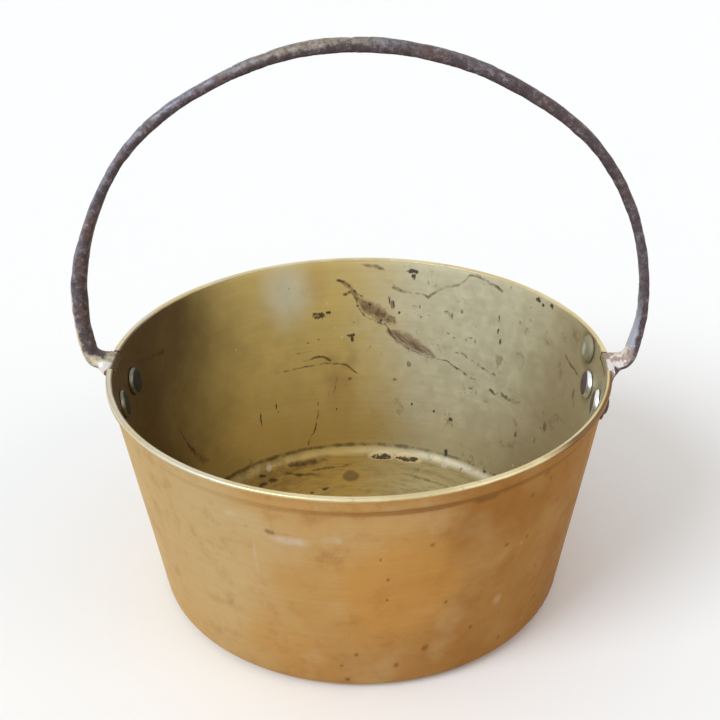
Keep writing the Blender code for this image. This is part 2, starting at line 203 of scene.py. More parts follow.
class Skin:
    """Short calls that build the nodes of a material, or of the sky.

    Its coat is the colour so far, over which the next one is laid. Object places are in metres.
    """

    def __init__(self, name, kind="materials", shader="Principled BSDF"):
        self.owner = getattr(bpy.data, kind).new(name)
        self.owner.use_nodes = True
        self.tree = self.owner.node_tree
        self.shader = self.tree.nodes[shader]
        self.coat = None

    @cached_property
    def place(self):
        return self.node("TexCoord", {}, "Object")

    def feed(self, socket, value):
        if isinstance(value, bpy.types.NodeSocket):
            self.tree.links.new(value, socket)
        else:
            socket.default_value = (*value, 1) if socket.type == "RGBA" else value

    def node(self, kind, inputs, output=0, **settings):
        made = self.tree.nodes.new("ShaderNode" + kind)
        for key, value in settings.items():
            setattr(made, key, value)
        for key, value in inputs.items():
            self.feed(made.inputs[key], value)
        return made.outputs if output is None else made.outputs[output]

    def value(self, operation, *inputs):
        return self.node("Math", dict(enumerate(inputs)), operation=operation)

    def times(self, first, *others):
        for other in others:
            first = self.value("MULTIPLY", first, other)
        return first

    def most(self, first, *others):
        for other in others:
            first = self.value("MAXIMUM", first, other)
        return first

    def line(self, value, slope, start):
        """The value times the slope, plus the start."""
        return self.value("MULTIPLY_ADD", value, slope, start)

    def less(self, first, second):
        return self.value("SUBTRACT", first, second)

    def apart(self, first, second):
        return self.value("ABSOLUTE", self.less(first, second))

    def vector(self, operation, *inputs):
        output = "Value" if operation == "LENGTH" else "Vector"
        feeds = dict(enumerate(inputs))
        return self.node("VectorMath", feeds, output, operation=operation)

    def split(self, vector):
        return self.node("SeparateXYZ", {0: vector}, None)

    def join(self, x, y, z):
        return self.node("CombineXYZ", {0: x, 1: y, 2: z})

    def from_axis(self, x, y):
        """Distance from the pan's upright axis."""
        return self.vector("LENGTH", self.join(x, y, 0))

    def noise(self, scale, detail=3, rough=0.55, place=None, output="Fac"):
        place = place or self.place
        feeds = {"Vector": place, "Scale": scale, "Detail": detail, "Roughness": rough}
        return self.node("TexNoise", feeds, output)

    def vertex(self, name):
        """A number that the mesh keeps at its vertices."""
        return self.node("Attribute", {}, 2, attribute_name=name)

    def fade(self, value, low, high, to_low=0, to_high=1):
        """Eases from to_low to to_high while the value goes from low to high."""
        if low > high:
            low, high, to_low, to_high = high, low, to_high, to_low
        feeds = {0: value, 1: low, 2: high, 3: to_low, 4: to_high}
        return self.node("MapRange", feeds, interpolation_type="SMOOTHSTEP")

    def mm_fade(self, value, low, high, to_low=0, to_high=1):
        """A fade between two lengths, which are given in millimetres."""
        return self.fade(value, low * MM, high * MM, to_low, to_high)

    def blend(self, share, first, second, mode="MIX"):
        feeds = {0: share, 6: first, 7: second}
        return self.node("Mix", feeds, 2, data_type="RGBA", blend_type=mode)

    def lay(self, share, colour, strength=1, mode="MIX"):
        """Lays a colour over a share of the coat."""
        if strength < 1:
            share = self.times(share, strength)
        self.coat = self.blend(share, self.coat, colour, mode)

    def wash(self, value, low, high, colour, strength=1):
        """Lays a colour that comes in while the value goes from low to high."""
        self.lay(self.fade(value, low, high, 0, strength), colour)

    def broken(self, cover, grain, soft=0.32):
        """A share of cover, broken into crumbs by the grain of a noise."""
        return self.fade(self.line(cover, 0.6, grain), 0.7, 0.7 + soft)

    def stain(self, cover, grain, colour, strength, part=1, soft=0.32):
        """Lays a colour where a part of the cover is broken into crumbs, and returns its share."""
        share = self.times(self.broken(self.times(cover, part), grain, soft), strength)
        self.lay(share, colour)
        return share

    def spot(self, place, location, size, rotation=(0, 0, 0)):
        """Distance from a spot's middle, which is 1 on the edge of an ellipsoid of that size."""
        feeds = {"Vector": place, "Location": location, "Rotation": rotation, "Scale": size}
        return self.vector("LENGTH", self.node("Mapping", feeds, vector_type="TEXTURE"))

    def nearest(self, place, spots):
        """Distance from the nearest of many spots."""
        found = 1000
        for spot in spots:
            found = self.value("MINIMUM", found, self.spot(place, *spot))
        return found

    def polar(self, place):
        """Share of the half turn from +X over the back to -X, and share of the pan's height."""
        x, y, z = self.split(place)
        turn = self.value("DIVIDE", self.value("ARCTAN2", y, x), math.pi)
        return turn, self.value("DIVIDE", z, PAN_HEIGHT)

    def run(self, along, across, stops):
        """A ribbon that follows stops: its place, middle, half width and strength at each.

        Returns how many half widths a point is away from the middle, and the strength there.
        """
        start = stops[0][0]
        full = stops[-1][0] - start
        made = self.tree.nodes.new("ShaderNodeValToRGB")
        self.feed(made.inputs[0], self.line(along, 1 / full, -start / full))
        elements = made.color_ramp.elements
        elements.remove(elements[1])
        for i, (place, *levels) in enumerate(stops):
            place = (place - start) / full
            element = elements.new(place) if i else elements[0]
            element.position = place
            element.color = (*levels, 1)
        middle, half, strength = self.node("SeparateColor", {0: made.outputs[0]}, None)
        return self.value("DIVIDE", self.apart(across, middle), half), strength

    def ribbons(self, way, tables, reach=1.8, down=False):
        """The cover of a few ribbons, full in the middle and none at so many half widths.

        The way is what polar makes of a place. A stop is an azimuth, a height and a half width in
        millimetres, and a strength. A ribbon that runs down has its height first.
        """
        units = (180, PAN_HEIGHT / MM)
        if down:
            way, units = way[::-1], units[::-1]
        long, wide = units
        found = 0
        for table in tables:
            stops = [(a / long, b / wide, half / wide, much) for a, b, half, much in sorted(table)]
            away, much = self.run(*way, stops)
            found = self.most(found, self.times(self.fade(away, reach, 0.1), much))
        return found

    def warp(self, scale, reach, detail=2):
        """The place moved about by a slow noise, so that shapes drawn with it turn ragged.

        The reach is how far it moves, in millimetres.
        """
        drift = self.noise(scale, detail, output="Color")
        drift = self.vector("SUBTRACT", drift, (0.5,) * 3)
        return self.vector("MULTIPLY_ADD", drift, (reach * MM,) * 3, self.place)

    def bump(self, height, distance, strength):
        feeds = {"Height": height, "Distance": distance, "Strength": strength}
        return self.node("Bump", feeds)

    def finish(self, **sockets):
        if self.coat:
            sockets["base_color"] = self.coat
        for key, value in sockets.items():
            name = key.replace("_", " ").title().replace("Ior", "IOR")
            self.feed(self.shader.inputs[name], value)
        return self.owner


def bore_radius(pan):
    """Inner radius of the pan at the rim."""
    return RIM_RADIUS - pan.lip_proud - pan.sheet


def wall_spots(skin, place, pan, marks):
    """Distances from marks on the inside of the wall.

    A mark is its azimuth in degrees, height, half width and half height in millimetres, and the
    turn of its long side in degrees.
    """
    spots = []
    for azimuth, height, wide, high, turn in marks:
        radius = bore_radius(pan) - (PAN_HEIGHT - height * MM) * math.tan(pan.lean)
        around = math.radians(azimuth)
        location = (radius * math.cos(around), radius * math.sin(around), height * MM)
        spots.append((location, (0.03, wide * MM, high * MM), (math.radians(turn), 0, around)))
    return skin.nearest(place, spots)


def floor_spots(skin, place, marks):
    """Distances from marks on the pan's floor: x, y, half length and half width, and turn."""
    spots = []
    for x, y, wide, high, turn in marks:
        size = (wide * MM, high * MM, 0.02)
        spots.append(((x * MM, y * MM, 0), size, (0, 0, math.radians(turn))))
    return skin.nearest(place, spots)


# Ribbons on the inside of the wall: azimuth, height and half width in millimetres, strength
FILM = (
    ((99.8, 135, 0.5, 0), (97, 134.5, 1.5, 0.8), (94.8, 131, 3, 0.8), (93.4, 126.5, 4.4, 0.8),
     (92, 119.5, 4.8, 0.9), (90, 115.4, 5.6, 1), (88, 112.2, 6.7, 1), (85.6, 109.7, 6.7, 1),
     (83.2, 107, 5.3, 1), (81.4, 105, 3.8, 0.9), (79.6, 103.1, 1.2, 0)),
)
STROKES = (
    ((84.4, 98.2, 0.6, 0), (82.6, 96.4, 2.6, 1), (80.7, 94.6, 5, 1), (78, 92.2, 6, 1),
     (75.5, 89.4, 6.4, 1), (73.2, 86.7, 5.3, 0.9), (70.6, 83.9, 3.4, 0.8), (68, 81.8, 1.9, 0.6),
     (65.1, 81.1, 1.5, 0.3), (62, 84, 4, 0.3), (57, 80.5, 5, 0.32), (52, 77, 5, 0.34),
     (48.5, 74.5, 3.5, 0.3), (46, 73, 1, 0)),
)
DARK_LINES = (
    ((97.6, 124, 0.6, 0), (96.4, 123.6, 1.2, 0.7), (94.6, 125.6, 1.4, 0.8), (93, 125, 1, 0.5),
     (92.4, 116.5, 1, 0.7), (90.8, 109.6, 1.5, 0.9), (89, 106.2, 1.4, 0.9), (86.5, 103.6, 1.1, 0.6),
     (84, 102.8, 1.3, 0.8), (82.6, 97, 1.6, 1), (80.4, 90.6, 0.9, 0.8), (78, 87, 0.9, 0.8),
     (75.5, 84, 0.8, 0.8), (72, 81.4, 0.8, 0.7), (68, 80.4, 0.7, 0.6), (64.4, 80.9, 0.8, 0.9),
     (61.7, 77.3, 1.2, 0.9), (58.9, 75.2, 1.2, 0.9), (56.3, 73, 1.2, 0.9), (53.9, 73.3, 0.7, 0.3),
     (52, 73.3, 0.4, 0)),
    ((99.8, 135, 0.5, 0), (97.6, 135.2, 1.1, 0.8), (95.4, 133.6, 1.4, 0.8), (92, 124.4, 1, 0.6),
     (88, 118.6, 0.9, 0.6), (84.6, 114, 0.8, 0.5), (82, 109, 0.7, 0), (64, 88.6, 0.5, 0),
     (62.1, 88.4, 0.9, 0.7), (59.9, 89.2, 1.1, 0.7), (57.1, 86.6, 1.2, 0.7), (54.2, 84, 1.4, 0.7),
     (51.2, 81.9, 1.5, 0.8), (48.2, 81.3, 1.3, 0.7), (46.2, 79.8, 0.8, 0)),
    ((49.8, 69.3, 0.5, 0), (49, 69.2, 1.3, 0.9), (47.4, 68.4, 2, 0.9), (45, 69, 2.1, 0.8),
     (42.7, 68.9, 2, 1), (40.9, 68.2, 1.8, 1), (39.7, 67.8, 0.6, 0)),
)
WAVY_LINES = (
    ((91.8, 147, 0.8, 0), (90.4, 146.4, 1.4, 0.6), (87.1, 145, 1.9, 0.7), (84.6, 143, 1.3, 0.6),
     (83.9, 142, 0.8, 0), (82.9, 130, 0.7, 0), (82.2, 129.8, 1.9, 0.7), (79.6, 128.3, 2.4, 0.7),
     (76.5, 126.6, 1.5, 0.6), (73.4, 127, 1.1, 0.6), (71.4, 125.3, 1.3, 1), (69, 131.4, 1.6, 0.7),
     (67, 134.6, 1.5, 0.6), (63.3, 138, 1.6, 0.6), (61.3, 142, 1.6, 0.6), (60.2, 146.4, 1.1, 0.7),
     (57.4, 147.4, 1.5, 0.8), (55, 146, 1.4, 0.6), (51.3, 143.6, 1.5, 0.8), (49.6, 142.2, 1.3, 0.9),
     (47.6, 142.6, 0.7, 0)),
)
FINE_LINES = (
    ((122, 72.6, 0.3, 0), (118, 72.5, 0.6, 0.6), (113.6, 72, 0.6, 0.8), (110.4, 72.5, 0.9, 0.9),
     (106.5, 73, 0.6, 0.8), (102.5, 73.4, 0.6, 0.8), (98.4, 72.5, 0.8, 0.9), (96, 70.7, 1.1, 0.9),
     (94.1, 67, 1.3, 0.9), (92.6, 64.6, 0.9, 0.8), (90.6, 63.6, 0.6, 0)),
    ((111, 76.5, 0.4, 0), (108, 77.4, 0.7, 0.8), (105.8, 78.6, 0.9, 0.9), (103.9, 78.8, 1.1, 1),
     (102.4, 78.2, 1.5, 1), (100.9, 75.7, 1.6, 0.9), (100.2, 74.5, 0.8, 0)),
    ((115.5, 83.4, 0.3, 0), (111, 83.5, 0.5, 0.5), (105.3, 84.1, 0.5, 0.6), (102, 84.6, 0.5, 0.4),
     (100.5, 84.8, 0.3, 0), (91.2, 98, 0.4, 0), (90.5, 96.5, 0.7, 0.6), (90, 90.5, 0.7, 0.6),
     (88.3, 86, 0.8, 0.7), (89.4, 80, 0.8, 0.5), (87.4, 80, 0.5, 0)),
    ((172.5, 132.8, 0.4, 0), (170.8, 132.1, 1.3, 0.7), (162.3, 125.4, 1.4, 0.8),
     (158.5, 123.4, 1.6, 0.9), (155.9, 122.5, 2.2, 1), (154.6, 122.5, 1.2, 0), (24, 124.6, 0.4, 0),
     (21.3, 122, 1, 0.9), (18.8, 120.2, 1.3, 1), (16.4, 120, 1.2, 1), (13, 118.5, 0.8, 0.7),
     (11.3, 120.4, 0.4, 0)),
)

# Ribbons that run down the wall: height in millimetres, azimuth and half width, strength
DRIPS = (
    ((73, 159, 0.2, 0), (66, 157.4, 0.5, 0.8), (58, 156, 0.5, 0.8), (50, 154.8, 0.6, 0.9),
     (42.4, 152.7, 1.2, 0.8), (36, 150.8, 2, 0.7), (30, 148.8, 2.4, 0.7), (24, 147.6, 0.8, 0)),
    ((47, 105.2, 0.1, 0), (42.7, 105.4, 0.4, 1), (40, 105.5, 0.2, 0.5), (34.1, 105.7, 0.4, 0.9),
     (27.2, 106.5, 0.3, 0.8), (22.6, 107, 0.4, 0.9), (17.5, 108.6, 0.3, 0.7),
     (11.6, 109.8, 0.4, 0.9), (8.4, 110.6, 0.3, 0)),
    ((66, 98.6, 0.1, 0), (62.9, 98.6, 0.3, 0.6), (56, 99.4, 0.3, 0.7), (49.1, 100.1, 0.2, 0.5),
     (46, 100.4, 0.1, 0)),
    ((68, 106.4, 0.1, 0), (64.9, 106.5, 0.4, 0.5), (58, 107, 0.2, 0.3), (52.7, 107.1, 0.5, 0.5),
     (50, 107.2, 0.1, 0)),
)

# Burnt spots on the wall: azimuth, height, half width and half height in millimetres
BURNS = (
    (103.8, 110.2, 6.2, 2.2), (100.6, 111.8, 2.4, 1.3), (94.2, 93.6, 4.4, 1.5),
    (93.8, 90.6, 1.6, 2.6), (76.4, 142.6, 5.4, 1.7), (76.2, 139.6, 2.2, 2.6), (83, 120.4, 0.9, 3),
    (82, 116.8, 2.3, 3.6), (80, 111.6, 1.4, 1.2), (37, 146.2, 3, 1.8), (35, 144.6, 1.8, 1.3),
    (31.9, 146.9, 2.4, 1.6), (49.3, 122.7, 0.8, 2.6), (48.9, 113.4, 0.9, 2),
    (47.9, 106.4, 1.4, 2.8), (74.8, 42.9, 1.2, 1.1), (67.3, 40.5, 1.3, 1.2), (61.3, 37, 2.4, 1.8),
    (56.4, 111.2, 0.5, 0.5), (93.2, 103.6, 0.8, 0.7), (88.6, 116.6, 1.1, 0.9),
    (85.4, 104.8, 1.4, 1.1), (92, 116, 1.1, 1), (125, 41, 0.8, 5.4), (119.4, 47.2, 0.8, 2.4),
    (119, 43, 0.5, 1), (99.6, 37.2, 0.9, 0.9), (61.9, 10.6, 2.1, 3), (46.2, 7.6, 2.2, 1.4),
    (41.9, 8.9, 2.4, 0.8), (54.8, 3.4, 0.9, 1),
)

# Light brown middles of the two largest burnt spots
PALE_CORES = ((104.6, 109.9, 4.4, 0.9), (82.2, 116.4, 1.3, 2.3))

# Small olive marks, faint hooks and blots
BLOTS = (
    (65.9, 117, 1.8, 0.8), (64.2, 114.8, 1, 2), (61.2, 119.2, 1.2, 1.2), (64.9, 101.4, 2, 0.8),
    (62.9, 99.2, 1.4, 0.7), (57.8, 102.2, 2.6, 0.8), (55.9, 100.4, 0.8, 1.8),
    (59, 100.2, 0.7, 1.4), (73.9, 117.4, 0.9, 1.5), (73.5, 110.1, 1, 1), (71.1, 111.6, 0.7, 0.7),
    (76.4, 72.9, 2.4, 2.4), (80.6, 60.3, 2.4, 1.6), (94.8, 60, 2.2, 1.4), (55.6, 65.4, 2.6, 0.8),
    (53.4, 63.4, 0.7, 1.4), (57.2, 60.6, 1, 0.7), (36.5, 46.3, 1.8, 2.8), (24.6, 66.5, 2.8, 3.6),
    (26.4, 63, 1.2, 1.4), (14, 105.1, 1.5, 4), (12, 100.1, 0.8, 2.4), (28, 52, 1, 3),
    (104.2, 92.2, 1.6, 0.5), (107.3, 90.6, 1.4, 0.6),
)

# Wide soft stains, and a pale streak that is a painted reflection of the window light
SMEARS = (
    (93.8, 76, 5, 9, 0), (96, 70.5, 6, 3, 0), (100.8, 77, 6, 5, 20), (98, 60, 12, 8, 0),
)
WINDOW_REFLECTION_STREAK = ((112.6, 129, 16, 22, 0),)
ROSY_STREAK = ((104, 134, 9, 16, 0), (98, 52, 14, 26, 0))
SPECKS = (
    (97, 92.4, 0.8, 0.8), (101, 119, 0.6, 0.7), (73.8, 98.7, 0.6, 0.6), (130.2, 98, 0.6, 0.6),
    (35, 24, 0.8, 0.9), (99, 100, 0.5, 0.5),
)

# Marks on the outside of the wall
OUTSIDE_DARK = (
    (-72.5, 30.6, 2.6, 2.2), (-79.7, 19.9, 2, 1.8), (-82.3, 89.8, 1.4, 1.2),
    (-82.4, 74.4, 1.2, 1.2), (-61.5, 136.6, 9, 1.9), (-45.1, 136.3, 2.4, 1.6),
    (-43.3, 129.8, 1.6, 1.4), (-48.6, 124.7, 1.8, 1.4), (-72.9, 111.9, 1.6, 1.2),
    (-68.5, 65.4, 1.3, 1.2), (-60.5, 37.7, 1.5, 1.4), (-89.6, 30.3, 1.6, 1.4),
    (-107.1, 120.5, 3.4, 1.6), (-84, 105.3, 1, 0.9),
)
OUTSIDE_PALE = (
    (-53.4, 52.2, 3.2, 3), (-103, 116, 12, 2.6), (-94, 119.8, 7, 2), (-111.5, 99, 1, 10),
    (-49, 90.2, 1.2, 1.2), (-116, 126.5, 5, 2.4),
)

# Streaks on the floor: azimuth, distance from the middle and half width in millimetres, strength
FLOOR_STREAKS = (
    ((126, 112, 0.8, 0), (121, 111, 1.6, 0.9), (116.9, 105, 1.4, 0.9), (112.9, 103, 1.6, 0.9),
     (108, 97.5, 0.9, 0.5), (105, 97, 0.5, 0)),
    ((120, 118.6, 1.6, 0), (118, 118.6, 2.4, 1), (112, 118.8, 2.4, 0.9), (106.7, 117.8, 2.6, 0.6),
     (100.6, 116.3, 2.2, 0.5), (97, 115.5, 1.2, 0)),
    ((120, 110.6, 0.6, 0), (112, 107, 1, 0.7), (106.1, 107.4, 1, 0.8), (98.9, 106, 1, 0.8),
     (95.2, 109.2, 0.9, 0.6), (92, 111.8, 0.6, 0.3), (86, 112, 0.5, 0)),
    ((85, 105.6, 0.6, 0), (77.4, 101, 0.9, 0.5), (66, 99.4, 0.9, 0.6), (60, 98.6, 1.2, 0.7),
     (53, 100.6, 0.8, 0.5), (50, 101, 0.5, 0)),
)

# Marks on the floor of the pan: x, y, half length and half width in millimetres, turn
RESIDUE = (
    (-97, 92.5, 11, 4.5, 28), (-88, 98.5, 6, 5, 30), (-74.3, 108, 5, 2, 20),
    (-72.5, 81.5, 5, 3, 40), (-66.5, 86.4, 4, 3, 0), (-74.6, 92.1, 3.4, 3, 0),
    (-27.6, 75.8, 3, 2, 40), (-36.6, 70.5, 2, 1.6, 0),
)
CRUST = ((12, 118.8, 8.5, 3.8, -6), (24, 117.4, 3, 1.6, 0), (31.5, 115.6, 8.6, 3.8, -16))
PATCH = ((-10.4, 93, 5.2, 7, 0),)
PALE_SPOT = ((-70.2, 100.2, 2, 2.6, 0), (59.2, 107, 2.4, 4.6, -30))

MIDDLE_RADIUS = 140  # of the wall at half its height, in millimetres
MOST_STOPS = 28  # that one ribbon of small marks takes
WIPE_WIDTH = 2.4 * MM


def dots(marks):
    """Small marks as a few ribbons that come and go along their way.

    A mark is its azimuth in degrees, height, half width and half height in millimetres.
    """
    tables = []
    for turn, height, wide, high in sorted(marks):
        reach = math.degrees(wide / MIDDLE_RADIUS)
        room = [t for t in tables if t[-1][0] < turn - reach and len(t) < MOST_STOPS]
        if not room:
            tables.append([])
            room = tables[-1:]
        for share, part, much in ((-1, 0.5, 0), (-0.5, 1, 1), (0.5, 1, 1), (1, 0.5, 0)):
            room[0].append((turn + share * reach, height, part * high, much))
    return tables


def wipe_marks(skin):
    """Fine marks round the pan, left by scouring."""
    x, y, z = skin.split(skin.place)
    level = skin.times(skin.line(z, 1, skin.from_axis(x, y)), 1 / WIPE_WIDTH)
    return skin.noise(1, 5, 0.65, skin.join(skin.times(x, 9), skin.times(y, 9), level))


def worn_lip(skin, pan, low):
    """Lays the rubbed colours of the lip above a height, with a painted cool highlight at the left
    and painted shade along the inner edge, and returns their share.
    """
    x, y, z = skin.split(skin.place)
    edge = skin.line(skin.less(skin.noise(140), 0.5), 0.8 * MM, z)
    lip = skin.fade(edge, low - 0.5 * MM, low + 0.4 * MM)
    slow = skin.noise(22, 4, 0.6)
    lit_and_rubbed = skin.blend(skin.fade(slow, 0.46, 0.62, 0, 0.6), pan.lip, tone(200, 184, 136))
    # Painted highlight: a cool pale sheen on the lip at the left, where the window light falls
    cool = skin.fade(skin.line(x, -1.6, skin.noise(13, 2)), 0.52, 0.72, 0, 0.8)
    lit_and_rubbed = skin.blend(cool, lit_and_rubbed, tone(212, 210, 196))
    nicks = skin.fade(skin.noise(330, 3, 0.7), 0.6, 0.72, 0, 0.4)
    lit_and_rubbed = skin.blend(nicks, lit_and_rubbed, pan.outside_brown_and_shade)
    # Painted shade and dirt: darker along the inner edge of the lip, most at the front
    inner = bore_radius(pan)
    shade_and_dirt = skin.times(
        skin.fade(skin.from_axis(x, y), inner + 1.1 * MM, inner + 0.2 * MM, 0, 0.85),
        skin.fade(slow, 0.34, 0.54, 0.25, 1),
        skin.mm_fade(y, 20, 90, 1, 0.3),
    )
    skin.lay(lip, skin.blend(shade_and_dirt, lit_and_rubbed, tone(98, 76, 44)))
    return lip


def outside_brass(pan):
    skin = Skin("pan_brass_outside")
    x, y, z = skin.split(skin.place)
    clouds = skin.noise(13, 4, 0.6, skin.warp(9, 40))
    mottle = skin.noise(55, 5, 0.7)

    # The tone of the sheet: paler at the left as painted sheen of the window light, browner at the
    # right and low down as painted shade and warm reflection, with mottling and pale blots
    side = skin.line(x, -3.6, skin.times(clouds, 0.9))
    skin.coat = skin.blend(skin.fade(side, 0.45, 0.8), pan.outside, pan.outside_sheen_and_scour)
    skin.wash(side, 0.5, -0.04, pan.outside_brown_and_shade)
    low = skin.mm_fade(skin.line(x, -0.6, z), 80, -10, 0, 0.85)
    skin.lay(low, skin.blend(clouds, skin.coat, pan.outside_brown_and_shade))
    skin.wash(mottle, 0.48, 0.75, pan.outside_brown_and_shade, 0.4)
    blots = skin.fade(skin.noise(31, 3, 0.5, skin.warp(30, 10)), 0.5, 0.7)
    skin.lay(skin.times(blots, skin.mm_fade(x, 20, 90, 0.4, 0.12)), pan.outside_sheen_and_scour)
    # Painted reflection: a warm golden patch on the front of the wall
    middle = (24 * MM, -133 * MM, 84 * MM)
    golden = skin.spot(skin.warp(25, 22), middle, (36 * MM, 30 * MM, 46 * MM))
    skin.wash(golden, 1.2, 0.5, tone(196, 140, 62), 0.45)
    wipes = wipe_marks(skin)
    skin.wash(wipes, 0.35, 0.7, (0.16, 0.1, 0.045), 0.08)

    # Specks and marks
    feeds = {"Vector": skin.warp(300, 0.8), "Scale": 85}
    specks = skin.node("TexVoronoi", feeds, "Distance")
    sparse = skin.fade(skin.line(x, 0.6, skin.noise(26, 2)), 0.56, 0.68)
    specks = skin.times(skin.fade(specks, 0.2, 0.06), sparse)
    skin.lay(specks, tone(98, 60, 32), 0.6)
    way = skin.polar(skin.warp(160, 2, 3))
    skin.lay(skin.ribbons(way, dots(OUTSIDE_DARK)), tone(98, 62, 32), 0.55)
    marks = skin.ribbons(way, dots(OUTSIDE_PALE))
    skin.lay(skin.times(marks, skin.fade(mottle, 0.42, 0.6, 0.15, 0.45)), tone(210, 202, 196))

    # Painted shade and dirt under the turned edge of the lip, stronger at the right; the lip; and a
    # brown strip of painted shade and dirt on the lip's outer side at the right
    patchy = skin.less(skin.noise(24), 0.5)
    groove = skin.apart(z, PAN_HEIGHT - pan.collar_depth - 1.5 * MM)
    groove = skin.mm_fade(skin.line(patchy, -3 * MM, groove), 2.6, 0.4)
    groove = skin.times(groove, skin.mm_fade(x, -90, 60, 0.12, 0.75))
    skin.lay(groove, tone(128, 82, 40))
    lip = worn_lip(skin, pan, PAN_HEIGHT - 1.2 * MM)
    strip = skin.times(
        skin.mm_fade(skin.apart(y, -58 * MM), 60, 34),
        skin.mm_fade(x, 80, 115),
        skin.mm_fade(skin.from_axis(x, y), 150.2, 151.2, 0, 0.9),
    )
    skin.lay(strip, tone(104, 68, 40))
    return skin.finish(
        metallic=0.88,
        roughness=skin.line(lip, -0.08, skin.fade(mottle, 0.3, 0.8, 0.36, 0.54)),
        specular_tint=(1, 0.82, 0.56),
        normal=skin.bump(skin.line(specks, -1.5, wipes), 0.05 * MM, 0.4),
    )


def inside_brass(pan):
    skin = Skin("pan_brass_inside")
    place = skin.place
    x, y, z = skin.split(place)
    clouds = skin.noise(15, 4, 0.6, skin.warp(10, 30))
    fine = skin.noise(420, 3, 0.65)
    crumbs = skin.noise(230, 3, 0.6)
    medium = skin.noise(110, 4, 0.7)
    torn = skin.less(medium, 0.5)

    # The tone of the sheet: painted shade, brown at the left and darkest at the far left, and
    # painted light, grey at the lit right, with dull brass at the right
    side = skin.line(clouds, 70 * MM, x)
    grey = skin.mm_fade(side, 15, 80)
    skin.coat = skin.blend(grey, pan.inside, pan.inside_lit_grey)
    skin.lay(skin.mm_fade(skin.line(z, -0.3, side), 85, 150), pan.inside_dull)
    skin.lay(skin.mm_fade(skin.line(clouds, 45 * MM, x), -46, -118), pan.inside_brown)
    # Painted shade: darkest at the far left
    skin.lay(skin.mm_fade(x, -118, -144, 0, 0.4), tone(62, 48, 30))
    # Painted shade: darker towards the bottom of the wall, less so at the left
    low = skin.mm_fade(skin.line(clouds, 40 * MM, z), 100, 10, 0, 0.56)
    low = skin.times(low, skin.mm_fade(x, -50, 60, 0.4, 1))
    skin.lay(low, tone(188, 172, 142), mode="MULTIPLY")
    faint = skin.fade(skin.noise(70, 5, 0.75, skin.warp(40, 8)), 0.57, 0.67, 0, 0.5)
    skin.lay(skin.times(faint, grey), tone(132, 110, 74))
    wipes = wipe_marks(skin)
    skin.wash(wipes, 0.35, 0.7, (0.16, 0.12, 0.05), 0.07)

    # Soft streaks and smears: a pale painted reflection of the window light, a rosy streak and dark
    # smears
    slow = skin.warp(45, 12, 3)
    light = wall_spots(skin, slow, pan, WINDOW_REFLECTION_STREAK)
    skin.wash(light, 1.7, 0.2, tone(222, 222, 208), 0.7)
    rosy = wall_spots(skin, slow, pan, ROSY_STREAK)
    skin.wash(rosy, 1.4, 0.3, tone(196, 152, 104), 0.3)
    smears = skin.line(torn, 1.6, wall_spots(skin, slow, pan, SMEARS))
    skin.wash(smears, 1.7, 0, tone(112, 80, 44), 0.22)

    # Old jam and burnt sugar on the wall
    ragged = skin.polar(skin.warp(150, 5, 4))
    film = skin.broken(skin.ribbons(ragged, FILM), medium, 0.4)
    skin.lay(film, pan.film, 0.64)
    skin.stain(film, crumbs, tone(70, 46, 36), 0.6, 0.62)

    # Scratches that run up to the left, as the strokes do
    turn, height = ragged
    slant = skin.join(
        skin.line(turn, 24, skin.times(height, 8)),
        skin.line(turn, -220, skin.times(height, 102)),
        0,
    )
    slant = skin.noise(1, 4, 0.65, slant)
    strokes = skin.ribbons(ragged, STROKES)
    skin.stain(strokes, medium, pan.film, 0.5, soft=0.3)
    skin.stain(strokes, slant, tone(100, 70, 52), 0.66, 0.55, 0.22)

    wavy_place = skin.polar(skin.warp(130, 2.6, 4))
    wavy = skin.ribbons(wavy_place, WAVY_LINES)
    skin.stain(wavy, medium, tone(122, 94, 70), 0.6, soft=0.25)
    skin.stain(wavy, crumbs, tone(76, 50, 36), 0.8, 0.6)
    drips = skin.ribbons(wavy_place, DRIPS, down=True)
    lines = skin.most(skin.ribbons(wavy_place, FINE_LINES), drips)
    skin.stain(lines, crumbs, tone(66, 48, 29), 0.75, soft=0.45)
    dark = skin.ribbons(wavy_place, DARK_LINES)
    dark = skin.stain(dark, crumbs, tone(72, 45, 30), 0.88, 0.85)
    skin.stain(skin.ribbons(wavy_place, dots(BLOTS)), crumbs, tone(88, 74, 40), 0.62)
    cores = skin.broken(skin.ribbons(wavy_place, dots(PALE_CORES)), fine, 0.2)
    burnt = skin.blend(cores, pan.burn, tone(146, 116, 80))
    burns = skin.stain(skin.ribbons(wavy_place, dots(BURNS)), fine, burnt, 0.94)
    skin.lay(skin.ribbons(skin.polar(place), dots(SPECKS)), tone(236, 226, 200), 0.9)

    # The corner and the floor
    around = skin.from_axis(x, y)
    on_floor = skin.mm_fade(z, 4, 2.2)
    # Painted shade: the floor a little darker and warmer
    skin.lay(on_floor, tone(253, 244, 226), mode="MULTIPLY")
    low_down = skin.mm_fade(z, 12, 6)
    stained = skin.times(
        skin.mm_fade(side, 20, -60, 0, 0.55),
        skin.fade(medium, 0.4, 0.56, 0.55, 1),
        low_down,
    )
    skin.lay(stained, tone(104, 82, 48))
    # Painted highlight: a pale band round the corner, cooler to the right and faint at the left
    corner = skin.line(torn, 4 * MM, skin.apart(around, 125.5 * MM))
    corner = skin.times(
        skin.mm_fade(corner, 6, 2),
        skin.mm_fade(z, 8, 5),
        skin.fade(medium, 0.4, 0.56, 0.5, 1.1),
        skin.mm_fade(x, -60, 10, 0.04, 0.3),
    )
    cooler = skin.mm_fade(x, -30, 70)
    skin.lay(corner, skin.blend(cooler, tone(196, 178, 128), tone(216, 212, 200)))

